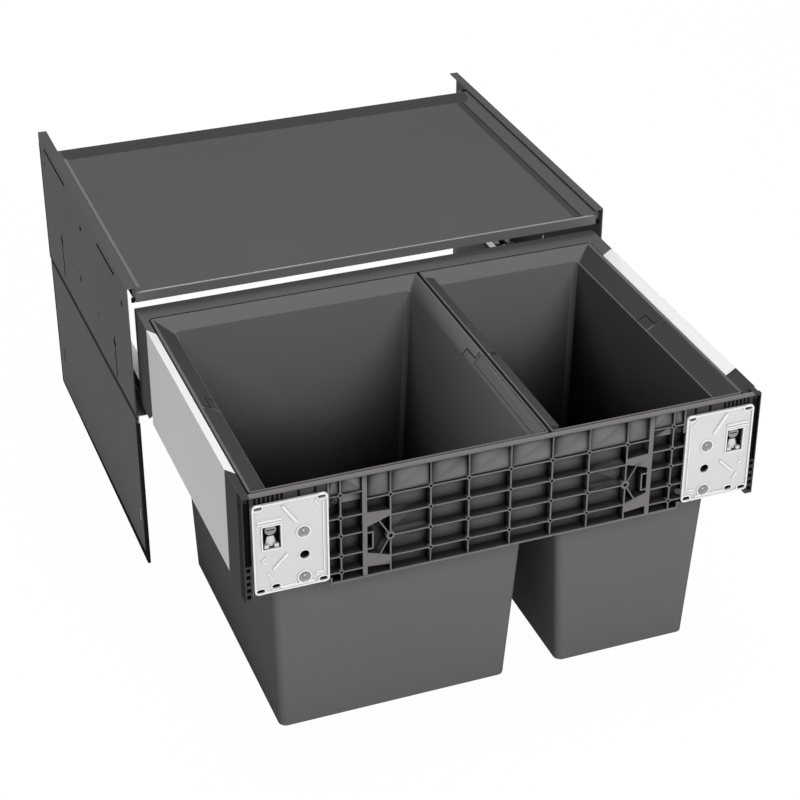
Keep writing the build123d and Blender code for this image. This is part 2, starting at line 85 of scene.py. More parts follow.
# %% Grain shared by the coats and plastics
def make_grain_group():
    """Node group that gives a coat its grain and a slight change of tone."""
    group = bpy.data.node_groups.new("fine_grain", "ShaderNodeTree")
    for name, way, kind in (("Color", "INPUT", "Color"), ("Grain Scale", "INPUT", "Float"),
                            ("Tone", "INPUT", "Float"), ("Rough", "INPUT", "Float"),
                            ("Color", "OUTPUT", "Color"), ("Height", "OUTPUT", "Float"),
                            ("Roughness", "OUTPUT", "Float")):
        group.interface.new_socket(name, in_out=way, socket_type="NodeSocket" + kind)
    tree, link = group.nodes, group.links
    ins, outs = tree.new("NodeGroupInput"), tree.new("NodeGroupOutput")
    place = tree.new("ShaderNodeTexCoord")
    fine = tree.new("ShaderNodeTexNoise")
    fine.inputs["Detail"].default_value = 2.0
    slow = tree.new("ShaderNodeTexNoise")
    slow.inputs["Scale"].default_value = 6.0
    shift = tree.new("ShaderNodeMath")
    shift.operation = "SUBTRACT"
    shift.inputs[1].default_value = 0.5
    amount = tree.new("ShaderNodeMath")
    amount.operation = "MULTIPLY_ADD"
    amount.inputs[2].default_value = 1.0
    tone = tree.new("ShaderNodeHueSaturation")
    uneven = tree.new("ShaderNodeMath")
    uneven.operation = "MULTIPLY_ADD"
    uneven.inputs[1].default_value = 0.12
    link.new(place.outputs["Object"], fine.inputs["Vector"])
    link.new(place.outputs["Object"], slow.inputs["Vector"])
    link.new(ins.outputs["Grain Scale"], fine.inputs["Scale"])
    link.new(slow.outputs["Fac"], shift.inputs[0])
    link.new(shift.outputs[0], amount.inputs[0])
    link.new(ins.outputs["Tone"], amount.inputs[1])
    link.new(amount.outputs[0], tone.inputs["Value"])
    link.new(ins.outputs["Color"], tone.inputs["Color"])
    link.new(shift.outputs[0], uneven.inputs[0])
    link.new(ins.outputs["Rough"], uneven.inputs[2])
    link.new(tone.outputs["Color"], outs.inputs["Color"])
    link.new(fine.outputs["Fac"], outs.inputs["Height"])
    link.new(uneven.outputs[0], outs.inputs["Roughness"])
    return group


grain_group = make_grain_group()
print("grain group", len(grain_group.nodes), "nodes")

# %% [markdown]
# Deep places, inside the bins and between the ribs, get painted shade. A second group takes how open a
# point is, from an Ambient Occlusion node in the material, and darkens the colour where it is closed in.
# A simple dark paint would also darken the outside of the same piece.

# %% Painted shade in deep places
def make_recess_group():
    """Node group that paints shade into a colour where the surface is closed in."""
    group = bpy.data.node_groups.new("recess_shade", "ShaderNodeTree")
    for name, way, kind in (("Color", "INPUT", "Color"), ("Open", "INPUT", "Float"),
                            ("Closed At", "INPUT", "Float"), ("Open At", "INPUT", "Float"),
                            ("Darkest", "INPUT", "Float"), ("Color", "OUTPUT", "Color")):
        group.interface.new_socket(name, in_out=way, socket_type="NodeSocket" + kind)
    tree, link = group.nodes, group.links
    ins, outs = tree.new("NodeGroupInput"), tree.new("NodeGroupOutput")
    span = tree.new("ShaderNodeMapRange")
    span.interpolation_type = "SMOOTHSTEP"
    span.inputs["To Max"].default_value = 1.0
    dim = tree.new("ShaderNodeMix")
    dim.data_type = "RGBA"
    dim.blend_type = "MULTIPLY"
    dim.inputs["Factor"].default_value = 1.0
    link.new(ins.outputs["Open"], span.inputs["Value"])
    link.new(ins.outputs["Closed At"], span.inputs["From Min"])
    link.new(ins.outputs["Open At"], span.inputs["From Max"])
    link.new(ins.outputs["Darkest"], span.inputs["To Min"])
    link.new(ins.outputs["Color"], dim.inputs["A"])
    link.new(span.outputs["Result"], dim.inputs["B"])
    link.new(dim.outputs["Result"], outs.inputs["Color"])
    return group


recess_group = make_recess_group()
print("recess group", len(recess_group.nodes), "nodes")

# %% [markdown]
# One function makes every finish from these groups: the colour and roughness go through the grain,
# and a finish with deep places also passes through the recess group, which paints shade there. The
# Ambient Occlusion node looks at the piece alone, or at its neighbours too where small parts sit on a plate.

# %% Finish function
GRAIN_DEPTH = 0.4 * MM
RECESS_SAMPLES = 12


def coated(name, color, rough, grain=900.0, bump=0.06, tone=0.08, metal=0.0, level=0.0, recess=None,
           alone=True):
    """Material with the shared grain.

    recess paints shade: (reach in metres, closed at, open at, darkest); alone keeps it to the piece itself.
    """
    mat = bpy.data.materials.new(name)
    mat.use_nodes = True
    tree, link = mat.node_tree.nodes, mat.node_tree.links
    shader = tree["Principled BSDF"]
    shader.inputs["Metallic"].default_value = metal
    shader.inputs["Specular IOR Level"].default_value = level
    grains = tree.new("ShaderNodeGroup")
    grains.node_tree = grain_group
    grains.inputs["Color"].default_value = (*color, 1.0)
    grains.inputs["Grain Scale"].default_value = grain
    grains.inputs["Tone"].default_value = tone
    grains.inputs["Rough"].default_value = rough
    relief = tree.new("ShaderNodeBump")
    relief.inputs["Strength"].default_value = bump
    relief.inputs["Distance"].default_value = GRAIN_DEPTH
    paint = grains.outputs["Color"]
    if recess:
        around = tree.new("ShaderNodeAmbientOcclusion")
        around.only_local = alone
        around.samples = RECESS_SAMPLES
        around.inputs["Distance"].default_value = recess[0]
        shade = tree.new("ShaderNodeGroup")
        shade.node_tree = recess_group
        for socket, value in zip(("Closed At", "Open At", "Darkest"), recess[1:]):
            shade.inputs[socket].default_value = value
        link.new(paint, shade.inputs["Color"])
        link.new(around.outputs["AO"], shade.inputs["Open"])
        paint = shade.outputs["Color"]
    link.new(paint, shader.inputs["Base Color"])
    link.new(grains.outputs["Roughness"], shader.inputs["Roughness"])
    link.new(grains.outputs["Height"], relief.inputs["Height"])
    link.new(relief.outputs["Normal"], shader.inputs["Normal"])
    return mat


print("finishes use", grain_group.name, "and", recess_group.name)

# %% [markdown]
# The sheet parts of the real unit are powder coated: anthracite on the panels and the lid, light grey on
# the drawer sides. Folds and borders get coats of their own tone, darker ones as painted shade and
# brighter ones as painted highlights. Most are matt, because a glossy coat would mirror the white floor.

# %% Powder coats
panel_coat = coated("panel_coat", (0.17, 0.158, 0.161), 0.6, level=0.02)
# painted shade: the dark tone of the panel folds and of the shelf's crease
fold_shade_coat = coated("fold_shade_coat", (0.034, 0.033, 0.033), 0.6)
lid_coat = coated("lid_coat", (0.103, 0.102, 0.099), 0.5)
# painted shade: the darker tone of the shelf's back and right borders
border_shade_coat = coated("border_shade_coat", (0.064, 0.063, 0.062), 0.5)
# painted highlight: the lighter tone of the shelf's front lip
lip_highlight_coat = coated("lip_highlight_coat", (0.15, 0.148, 0.146), 0.4, level=0.3)
light_coat = coated("light_coat", (0.88, 0.88, 0.88), 0.42, tone=0.02, level=0.1)
# painted highlight: the bright bead along the top of the lip
bead_highlight_coat = coated("bead_highlight_coat", (0.34, 0.335, 0.33), 0.35, level=0.4)
print("coats", len(bpy.data.materials))

# %% [markdown]
# The front plates are bright die-cast zinc with a cloudy surface, their rivets are duller, and the
# runners are plated steel. A brighter zinc on the plates' relief is a painted highlight, and shade is
# painted where the relief and the rivets meet the plate. Part of the metal share is left out, as zinc
# that is dulled by handling scatters light like a pale coat.

# %% Metals
# painted shade where the relief meets the plate
zinc = coated("zinc", (0.68, 0.68, 0.68), 0.38, grain=260.0, bump=0.12, tone=0.2, metal=0.3, level=0.5,
              recess=(0.006, 0.3, 0.98, 0.4), alone=False)
# painted highlight: the relief on the plates is brighter than the plate
relief_highlight_zinc = coated("relief_highlight_zinc", (0.87, 0.87, 0.87), 0.3, grain=260.0, tone=0.05, metal=0.2, level=0.5)
plated = coated("plated", (0.42, 0.42, 0.43), 0.32, grain=300.0, metal=0.9, level=0.5)
# painted shade where a rivet head meets the plate
dull_zinc = coated("dull_zinc", (0.3, 0.3, 0.3), 0.4, grain=300.0, metal=0.5, level=0.5,
                   recess=(0.004, 0.3, 0.98, 0.3), alone=False)
print("coats and metals", len(bpy.data.materials))

# %% [markdown]
# The frame, the bins and the corners are moulded from anthracite plastic. The frame's cells and the
# inside of the bins are deep, so these finishes paint shade into them with the recess group, with a
# reach of the depth of each. Every slot of the part then gets its finish on the CAD nodes.

# %% Plastics, and the finish of each slot
frame_plastic = coated("frame_plastic", (0.19, 0.178, 0.182), 0.5, recess=(0.03, 0.25, 0.95, 0.1))
bin_plastic = coated("bin_plastic", (0.15, 0.143, 0.147), 0.5, recess=(0.6, 0.13, 0.3, 0.03))
dark_plastic = coated("dark_plastic", (0.13, 0.125, 0.127), 0.5)
# painted shade: a darker plastic for shaded rims, corner caps, ledges, the comb's band and the frame's ends,
# with shade painted in its deep places
dark_shade_plastic = coated("dark_shade_plastic", (0.06, 0.057, 0.058), 0.5, recess=(0.02, 0.2, 0.95, 0.15))
shadow_black = coated("shadow_black", (0.008, 0.008, 0.008), 0.7)
roller_plastic = coated("roller_plastic", (0.6, 0.6, 0.58), 0.45)
finish_of_slot = {
    "panel_steel": panel_coat, "lid_steel": lid_coat, "light_steel": light_coat, "zinc": zinc,
    "rail_steel": plated, "dark_plastic": dark_plastic, "frame_plastic": frame_plastic,
    "bin_plastic": bin_plastic, "roller_plastic": roller_plastic}
slot_of_node = {part["node"]: part["material_slot"] for part in frame["record"]["subparts"]}
for node, slot in slot_of_node.items():
    mesh = nodes[node].data
    mesh.materials.clear()
    mesh.materials.append(finish_of_slot[slot])
print("finishes", len(finish_of_slot), "nodes", len(slot_of_node))

# %% [markdown]
# Real sheet and mouldings never have razor edges, and the thin bright lines along the rims come from
# small rounds. The solids are sharp, so each visible one gets a copy: its doubles are merged, its flat
# faces are joined, and a Bevel modifier rounds the edges by a fraction of a millimetre.

# %% Softened copies of the solids
body_of_node = {node: body for body, group in frame["record"]["behaviour"]["bodies"].items()
                for node in group}
SHARP_FROM, ROUND_FROM = math.radians(32.0), math.radians(40.0)
MERGE, FLAT_WITHIN = 0.001 * MM, math.radians(0.4)


def new_piece(name, bm, body, slot, round_by=0.0, finish=None, smooth=True):
    """Object from a bmesh, with the finish of a slot or one of its own, riding on a body."""
    mesh = bpy.data.meshes.new(name)
    bm.to_mesh(mesh)
    bm.free()
    for face in mesh.polygons:
        face.use_smooth = smooth
    mesh.set_sharp_from_angle(angle=SHARP_FROM)
    mesh.materials.append(finish or finish_of_slot[slot])
    piece = bpy.data.objects.new(name, mesh)
    bpy.context.collection.objects.link(piece)
    if round_by:
        edge = piece.modifiers.new("rounded_edges", "BEVEL")
        edge.width = round_by
        edge.segments = 2
        edge.limit_method = "ANGLE"
        edge.angle_limit = ROUND_FROM
        edge.harden_normals = smooth
    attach(piece, body)
    return piece


def carve(bm, tool):
    """Cut a closed tool shape out of a bmesh, with a Boolean modifier that is applied at once."""
    pair = []
    for shape in (bm, tool):
        mesh = bpy.data.meshes.new("carving")
        shape.to_mesh(mesh)
        pair.append(bpy.data.objects.new("carving", mesh))
        bpy.context.collection.objects.link(pair[-1])
    cut = pair[0].modifiers.new("cut", "BOOLEAN")
    cut.object = pair[1]
    cut.solver = "EXACT"
    cut.use_self = True
    done = bpy.data.meshes.new_from_object(pair[0].evaluated_get(bpy.context.evaluated_depsgraph_get()))
    bm.clear()
    bm.from_mesh(done)
    for old in pair:
        bpy.data.objects.remove(old)
    bpy.data.meshes.remove(done)
    tool.free()


def solid_copy(node, tool=None):
    """Bmesh of a CAD node with its flat faces joined, and a tool shape cut out of it."""
    bm = bmesh.new()
    bm.from_mesh(nodes[node].data)
    bmesh.ops.remove_doubles(bm, verts=bm.verts, dist=MERGE)
    bmesh.ops.dissolve_limit(bm, angle_limit=FLAT_WITHIN, verts=bm.verts, edges=bm.edges)
    if tool:
        carve(bm, tool)
    return bm


def soften(node, round_by, tool=None):
    """Rounded copy of a CAD node, which replaces it."""
    bm = solid_copy(node, tool)
    piece = new_piece(node + "_rounded", bm, body_of_node[node], slot_of_node[node], round_by)
    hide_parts(node)
    return piece


rounds = {"rear_panel": 0.5, "lid_shelf": 0.5, "large_handle": 0.35, "small_handle": 0.35}
for s, side in SIDES:
    for part, width in (("side_panel", 0.3), ("drawer_side", 0.35), ("front_corner", 0.35),
                        ("rear_corner", 0.35), ("front_plate", 0.4), ("cabinet_rail", 0.3)):
        rounds[side + part] = width
for node, width in rounds.items():
    soften(node, width * MM)
print("softened", len(rounds))

# %% [markdown]
# The upper panels are pierced for the lid's tabs, the runner's hooks and the screws. The real openings
# look black and are a little wider than the solid shows, with hooks and tabs in them. Near-black flat
# boxes set into the sheet, nearly flush with its face, paint the shade in those openings.

# %% Openings of the upper panels
HAIR = 0.04 * MM    # rounding of thin flat pieces


def box_between(bm, low, high):
    """Box between two corners."""
    low, high = Vector(low), Vector(high)
    size = high - low
    bmesh.ops.create_cube(bm, size=1.0, matrix=Matrix.Translation((low + high) / 2)
                          @ Matrix.Diagonal((abs(size.x), abs(size.y), abs(size.z), 1.0)))


# Each opening is (from, to, low, high) in millimetres, from the panel's front edge and the floor
openings = [(58.0, 139.0, 345.4, 348.8), (304.0, 416.0, 345.4, 348.8)]
slit, head, head_low, head_high = 1.7, 5.0, 11.0, 6.0
for y, z0, z1 in ((82.0, 205.0, 258.0), (350.0, 203.0, 262.0)):
    openings += [(y - slit, y + slit, z0, z1 - head_low), (y - head, y + head, z1 - head_low, z1 - head_high),
                 (y - slit, y + slit, z1 - head_high, z1)]
hole_half, hole_rise = 2.4, 3.4
for y, z in ((29.0, 326.0), (227.0, 326.0), (250.0, 249.0)):
    openings.append((y - hole_half, y + hole_half, z - hole_rise, z + hole_rise))
for s, side in SIDES:
    fills = bmesh.new()
    for y0, y1, z0, z1 in openings:
        box_between(fills, (s * (panel_x - 0.8 * MM), panel_front + y0 * MM, z0 * MM),
                    (s * (panel_x + 0.12 * MM), panel_front + y1 * MM, z1 * MM))
    new_piece(side + "opening_shade", fills, "housing", "dark_plastic", HAIR, shadow_black)
print("panel openings", len(openings), "each side")

# %% [markdown]
# The lower panel tucks in behind the upper one, and near-black bars paint the shadow along that seam.
# It falls a little towards the back, so each bar is turned by the angle of the seam before it is put
# in place: one on the lower panel, one on the edge of the upper. Two more bars paint shade along the
# rear edges.

# %% Painted shadow along the panel seam and the rear edge
SHEET = 1.2 * MM
seam_front, seam_back = 197.5 * MM, 185.0 * MM
seam_run = Vector((0.0, panel_back - panel_front, seam_back - seam_front))
lower_shadow, upper_shadow, rear_shade = 5.4 * MM, 2.6 * MM, 5.0 * MM
face_in, face_out = panel_x - 1.4 * MM, panel_x - 1.05 * MM    # about the face of the lower panel


def seam_bar(bm, middle, thick, tall):
    """Bar along the falling seam."""
    turn = Matrix.Rotation(math.atan2(seam_run.z, seam_run.y), 4, "X")
    bmesh.ops.create_cube(bm, size=1.0, matrix=Matrix.Translation(middle) @ turn
                          @ Matrix.Diagonal((thick, seam_run.length, tall, 1.0)))


for s, side in SIDES:
    seam_shade = bmesh.new()
    middle = Vector((s * (panel_x - SHEET), (panel_front + panel_back) / 2,
                     (seam_front + seam_back) / 2 - upper_shadow))
    seam_bar(seam_shade, middle, 0.5 * MM, lower_shadow)
    seam_bar(seam_shade, middle + Vector((s * SHEET, 0.0, lower_shadow)), 0.24 * MM, upper_shadow)
    box_between(seam_shade, (s * (panel_x - 0.2 * MM), panel_back - rear_shade, seam_back + 3.0 * MM),
                (s * (panel_x + 0.15 * MM), panel_back, panel_high.z - 14.0 * MM))
    box_between(seam_shade, (s * face_in, panel_back - rear_shade, 2.0 * MM),
                (s * face_out, panel_back, seam_back - 3.0 * MM))
    new_piece(side + "panel_seam_shade", seam_shade, "housing", "dark_plastic", 0.05 * MM, shadow_black)
print("seam length", round(seam_run.length, 4))

# %% [markdown]
# The foot of the lower panel shows as a narrow fold only, so a box as a tool cuts the copy's foot back.
# Folds of a darker coat, painted shade, follow the front and lower edges. The lower one widens to the
# front, so the corners of a cube are moved. The flange on top of the upper panel has a cap of a darker
# tone as painted shade.

# %% Folds of the lower panels and caps on the flanges, in painted shade
fold_in = panel_x - 4.4 * MM
fold_low, fold_high, fold_deep = 0.3 * MM, seam_front - 8.0 * MM, 9.0 * MM
wedge_front, wedge_back = 11.0 * MM, 4.0 * MM
for s, side in SIDES:
    foot = bmesh.new()
    box_between(foot, (s * (panel_x - 30.0 * MM), panel_front - MM, -4.0 * MM),
                (s * fold_in, panel_back + MM, 4.0 * MM))
    soften(side + "lower_panel", 0.3 * MM, foot)
    fold, cap = bmesh.new(), bmesh.new()
    for v in bmesh.ops.create_cube(fold, size=1.0)["verts"]:
        outside, back, top = v.co.x > 0, v.co.y > 0, v.co.z > 0
        v.co = (s * (face_out if outside else face_in),
                panel_back - 5.2 * MM if back else panel_front + 9.2 * MM,
                (wedge_back if back else wedge_front) if top else fold_low)
    bmesh.ops.recalc_face_normals(fold, faces=fold.faces)
    box_between(fold, (s * face_in, panel_front + 0.2 * MM, fold_low),
                (s * face_out, panel_front + fold_deep, fold_high))
    box_between(fold, (s * fold_in, panel_front - 0.15 * MM, fold_low),
                (s * (panel_x - 1.1 * MM), panel_front + 0.1 * MM, fold_high))
    new_piece(side + "panel_fold_shade", fold, "housing", "dark_plastic", HAIR, fold_shade_coat)
    box_between(cap, (s * (panel_x - 10.4 * MM), panel_front + 0.3 * MM, panel_high.z - 0.2 * MM),
                (s * (panel_x - 0.2 * MM), panel_back - 0.3 * MM, panel_high.z + 0.12 * MM))
    new_piece(side + "flange_shade_cap", cap, "housing", slot_of_node[side + "side_panel"], HAIR, lid_coat)
print("lower panels 2, folds and caps 4")

# %% [markdown]
# The borders of the shelf are turned up at the back and sides. Strips laid on those slopes paint light
# and shade: a darker tone on the back and right borders and a dark crease where the right one rises are
# painted shade, and a lighter crest on the left is a painted highlight. Painting the tray itself would
# need a mask for every border, and a strip is easier to place.

# %% Painted shade and highlight on the borders of the shelf
shelf_low, shelf_high = node_box("lid_shelf")
rise, back_run, side_run = 4.0 * MM, 20.8 * MM, 12.8 * MM
shelf_top = shelf_high.z - rise


def strip_on(bm, middle, size, turn, axis):
    """Flat box turned about one axis."""
    bmesh.ops.create_cube(bm, size=1.0, matrix=Matrix.Translation(middle)
                          @ Matrix.Rotation(turn, 4, axis) @ Matrix.Diagonal((*size, 1.0)))


border, crest, crease = bmesh.new(), bmesh.new(), bmesh.new()
strip_on(border, (0.0, shelf_high.y - SHEET - back_run / 2, shelf_top + rise / 2 + 0.15 * MM),
         (2 * (shelf_high.x - 9.0 * MM), back_run, 0.3 * MM), math.atan2(rise, back_run), "X")
strip_on(crest, (shelf_low.x + 8.6 * MM, (shelf_low.y + shelf_high.y) / 2 - 8.0 * MM, shelf_top + 2.1 * MM),
         (4.4 * MM, shelf_high.y - shelf_low.y - 30.0 * MM, 0.4 * MM), math.atan2(rise, side_run), "Y")
for bm, inner, outer in ((border, 29.0, 21.6), (crease, 21.4, 19.2)):
    box_between(bm, (shelf_high.x - inner * MM, shelf_low.y + 2.0 * MM, shelf_top - 0.1 * MM),
                (shelf_high.x - outer * MM, shelf_high.y - 23.0 * MM, shelf_top + 0.1 * MM))
new_piece("shelf_border_shade", border, "lid", "lid_steel", 0.1 * MM, border_shade_coat)
new_piece("shelf_crest_highlight", crest, "lid", "lid_steel", 0.18 * MM, panel_coat)
new_piece("shelf_crease_shade", crease, "lid", "lid_steel", 0.05 * MM, fold_shade_coat)
print("shelf borders", 2, "crest", 1, "crease", 1)

# %% [markdown]
# The front edge of the shelf is folded to a lip that catches the light. A lighter bar on the lip and a thin
# bright bead with rounded edges along its top are painted highlights, and two near-black notches paint
# the shade at the ends of the fold.

# %% Painted highlights and shade on the lip of the shelf
lip, bead, notch = bmesh.new(), bmesh.new(), bmesh.new()
box_between(lip, (shelf_low.x + 3.0 * MM, shelf_low.y - 0.8 * MM, shelf_low.z - 1.0 * MM),
            (shelf_high.x - 3.0 * MM, shelf_low.y + 0.4 * MM, shelf_top + 0.3 * MM))
box_between(bead, (shelf_low.x + 6.0 * MM, shelf_low.y - 1.0 * MM, shelf_top - 0.9 * MM),
            (shelf_high.x - 6.0 * MM, shelf_low.y + 0.3 * MM, shelf_top + 0.5 * MM))
for s, side in SIDES:
    box_between(notch, (s * (shelf_high.x - 2.6 * MM), shelf_low.y - 0.6 * MM, shelf_low.z - 1.0 * MM),
                (s * (shelf_high.x + 1.6 * MM), shelf_low.y + 1.0 * MM, shelf_low.z + 5.0 * MM))
new_piece("shelf_bead_highlight", bead, "lid", "lid_steel", 0.3 * MM, bead_highlight_coat)
new_piece("shelf_notch_shade", notch, "lid", "lid_steel", 0.2 * MM, shadow_black)
new_piece("shelf_lip_highlight", lip, "lid", "lid_steel", 0.18 * MM, lip_highlight_coat)
print("shelf lip", 1, "bead", 1, "notches", 2)

# %% [markdown]
# The bins hang side by side with a narrow gap between their rims, and another behind them. The solid
# has the gaps as thin lines, so a box as a tool opens the one between the rims to what the photograph
# shows. Black bars in both gaps paint their shade and keep the bright floor from shining through.

# %% Bins with their gaps
bin_low, bin_high = node_box("large_bin")
small_low, small_high = node_box("small_bin")
rim_top = bin_high.z
for node in ("large_bin", "small_bin"):
    tool = bmesh.new()
    box_between(tool, (bin_high.x - 0.8 * MM, bin_low.y - MM, rim_top - 16.0 * MM),
                (small_low.x + 0.8 * MM, bin_high.y + MM, rim_top + MM))
    soften(node, 0.6 * MM, tool)
gap_shade_bars = bmesh.new()
box_between(gap_shade_bars, (bin_low.x + MM, bin_high.y - 0.4 * MM, rim_top - 8.0 * MM),
            (small_high.x - MM, bin_high.y + 1.0 * MM, rim_top + 0.3 * MM))
box_between(gap_shade_bars, (bin_high.x - 0.5 * MM, bin_low.y + 4.0 * MM, rim_top - 15.0 * MM),
            (small_low.x + 0.5 * MM, bin_high.y - 1.0 * MM, rim_top - 7.0 * MM))
new_piece("rim_gap_shade", gap_shade_bars, "drawer", "dark_plastic", 0.1 * MM, shadow_black)
print("bins softened", 2, "gap bars", 2)

# %% [markdown]
# The small bin's left rim is nearly flat, so two cubes drawn to a wedge fill its slope: one on the bin
# and one on the handle's leg, so that it can fold away with the handle. Their darker plastic paints
# shade on that rim.

# %% Ledges on the small bin's left rim
ledge_outer, ledge_inner = small_low.x + 2.4 * MM, small_low.x + 13.2 * MM
TOP_DROP, FOOT_DROP = (0.1, 2.6), (1.2, 13.6)    # millimetres below the rim, outer and inner side
ledges = (("small_rim_ledge", "small_bin_body", -231.0, -52.0),    # name, body, front and back along y
          ("small_leg_ledge", "small_handle_body", -389.0, -238.0))
for name, body, front, back in ledges:
    ledge = bmesh.new()
    for v in bmesh.ops.create_cube(ledge, size=1.0)["verts"]:
        inside = v.co.x > 0
        drop = (TOP_DROP if v.co.z > 0 else FOOT_DROP)[inside]
        v.co = (ledge_inner if inside else ledge_outer, (back if v.co.y > 0 else front) * MM,
                rim_top - drop * MM)
    new_piece(name, ledge, body, "bin_plastic", 0.4 * MM, dark_shade_plastic)
print("ledges", len(ledges))

# %% [markdown]
# The outer rims of the bins and the tops of the front corners look darker than the walls, which is shade.
# Thin plates laid on those slopes paint it in a darker tone. Each is a cube whose corners are moved to
# the upper edge and the foot of the slope, cut to a mitre where two rims meet.

# %% Plates of painted shade on the sloping rims
PLATE_OVER, PLATE_UNDER = 0.15 * MM, -0.3 * MM    # faces of a plate, from the slope


def slope_shade_plate(bm, edge, foot, front, back, mitre_front=0.0, mitre_back=0.0):
    """Thin plate of painted shade on a slope between its upper edge and its foot, each given as (x, z)."""
    for v in bmesh.ops.create_cube(bm, size=1.0)["verts"]:
        low, far, top = v.co.x > 0, v.co.y > 0, v.co.z > 0
        x, z = foot if low else edge
        y = back - (mitre_back if low else 0.0) if far else front + (mitre_front if low else 0.0)
        v.co = (x, y, z + (PLATE_OVER if top else PLATE_UNDER))
    bmesh.ops.recalc_face_normals(bm, faces=bm.faces)


MITRE, RIM_INSET = 17.0 * MM, 2.5 * MM
EDGE_IN, EDGE_DROP = 3.2 * MM, 0.5 * MM
FOOT_IN, FOOT_FALL = 21.6 * MM, 12.5 * MM
rim_front, leg_back = -229.0 * MM, -231.0 * MM    # where the rim starts and the handle's leg ends
for name, rim_x, s in (("large", bin_low.x, 1), ("small", small_high.x, -1)):
    edge = (rim_x + s * EDGE_IN, rim_top - EDGE_DROP)
    foot = (rim_x + s * FOOT_IN, rim_top - FOOT_FALL)
    rim, leg = bmesh.new(), bmesh.new()
    slope_shade_plate(rim, edge, foot, rim_front, bin_high.y - RIM_INSET, mitre_back=MITRE)
    slope_shade_plate(leg, edge, foot, bin_low.y + RIM_INSET, leg_back, mitre_front=MITRE)
    new_piece(name + "_rim_shade_plate", rim, name + "_bin_body", "bin_plastic", HAIR, dark_shade_plastic)
    new_piece(name + "_leg_shade_plate", leg, name + "_handle_body", "bin_plastic", HAIR, dark_shade_plastic)
print("rim plates", 4)

# %% [markdown]
# The front corners of the drawer have the same dark slope on top, and beside each zinc plate the frame
# has a deep column that looks black. A plate paints that shade on the slope, and a near-black flat box
# paints it at the bottom of the column.

# %% Painted shade on the corner caps and columns
FRAME_END = 264.4 * MM    # where the corner moulding starts
COLUMN_END, COLUMN_LOW, COLUMN_HIGH = 270.6 * MM, 252.0 * MM, 320.0 * MM
column_front, column_back = -412.1 * MM, -411.6 * MM
CAP_WIDE, CAP_FALL, CAP_INSET = 10.2 * MM, 6.7 * MM, 0.3 * MM
for s, side in SIDES:
    low, high = node_box(side + "front_corner")
    outer = max(abs(low.x), abs(high.x))
    cap, column = bmesh.new(), bmesh.new()
    slope_shade_plate(cap, (s * (outer - 0.4 * MM), high.z - 0.25 * MM),
                (s * (outer - CAP_WIDE), high.z - CAP_FALL), low.y + CAP_INSET, high.y - CAP_INSET)
    new_piece(side + "corner_shade_cap", cap, "drawer", "dark_plastic", HAIR, dark_shade_plastic)
    box_between(column, (s * FRAME_END, column_front, COLUMN_LOW), (s * COLUMN_END, column_back, COLUMN_HIGH))
    new_piece(side + "frame_column_shade", column, "drawer", "dark_plastic", HAIR, shadow_black)
print("corner caps", 2, "columns", 2)

# %% [markdown]
# Each handle leg ends in a step on the rim, seen as a dark Z, which is shade. Three thin near-black bars
# paint it: two across the slope of the rim and one along it.

# %% Steps at the handle ends
STEP_LINE, STEP_LONG, STEP_THICK = 0.9 * MM, 22.9 * MM, 0.5 * MM
WIDE_RUN, NARROW_RUN, RIM_DROP = 19.9 * MM, 11.1 * MM, 13.0 * MM
STEP_FRONT, STEP_BACK = -229.6 * MM, -207.6 * MM


def add_step(bm, top_x, foot_x, top_z, foot_z):
    """Black Z of painted shade on the sloped rim between its top edge and its foot."""
    slope = math.atan2(foot_z - top_z, foot_x - top_x)
    length = math.hypot(foot_z - top_z, foot_x - top_x)
    step_middle = (STEP_FRONT + STEP_BACK) / 2
    for part, y, along in ((0.25, STEP_FRONT, False), (0.75, STEP_BACK, False), (0.5, step_middle, True)):
        middle = (top_x + (foot_x - top_x) * part, y, top_z + (foot_z - top_z) * part)
        size = (STEP_LINE, STEP_LONG, STEP_THICK) if along else (length / 2, STEP_LINE, STEP_THICK)
        strip_on(bm, middle, size, -slope, "Y")


for node, low, high, left_run, right_run in (
        ("large_bin", bin_low, bin_high, WIDE_RUN, NARROW_RUN),
        ("small_bin", small_low, small_high, NARROW_RUN, WIDE_RUN)):
    steps = bmesh.new()
    left, right, foot = low.x + RIM_INSET, high.x - RIM_INSET, high.z - RIM_DROP
    add_step(steps, left, left + left_run, high.z, foot)
    add_step(steps, right, right - right_run, high.z, foot)
    new_piece(node + "_step_shade", steps, body_of_node[node], "dark_plastic", 0.0, shadow_black)
print("handle steps", 4)

# %% [markdown]
# Where the ribs of the front frame cross, the moulding has small round bosses with a blind bore. Each
# boss is a capped rod whose front face is inset and pushed in. The same places get a rod in a tool
# shape, which later cuts the bores into the copy of the frame.

# %% Bosses at the rib crossings
GUSSET_X, OUTER_X = 125.0 * MM, 175.4 * MM
FIRST_ROW, ROW_STEP, ROWS = 29.0, 23.7, 4    # millimetres below the top of the drawer
BOSS_SIZE = 2.55 * MM, 1.45 * MM, 0.3 * MM    # radius, bore, height over the ribs
HUB_SIZE = 4.4 * MM, 2.1 * MM, 0.35 * MM
BORE_CUT, BORE_DEEP, TOOL_OUT = 1.6 * MM, 3.6 * MM, 1.0 * MM
row_z = [drawer_top - (FIRST_ROW + ROW_STEP * i) * MM for i in range(ROWS)]
outer_z = [drawer_top - d * MM for d in (18.9, 44.8, 65.6, 88.7, 107.3)]
crossings = [(x * MM, z) for x in (-83.6, -44.0, 0.0, 44.0, 83.6) for z in row_z]
crossings += [(s * GUSSET_X, row_z[0]) for s in (-1, 1)]
crossings += [(s * OUTER_X, z) for s in (-1, 1) for z in outer_z]


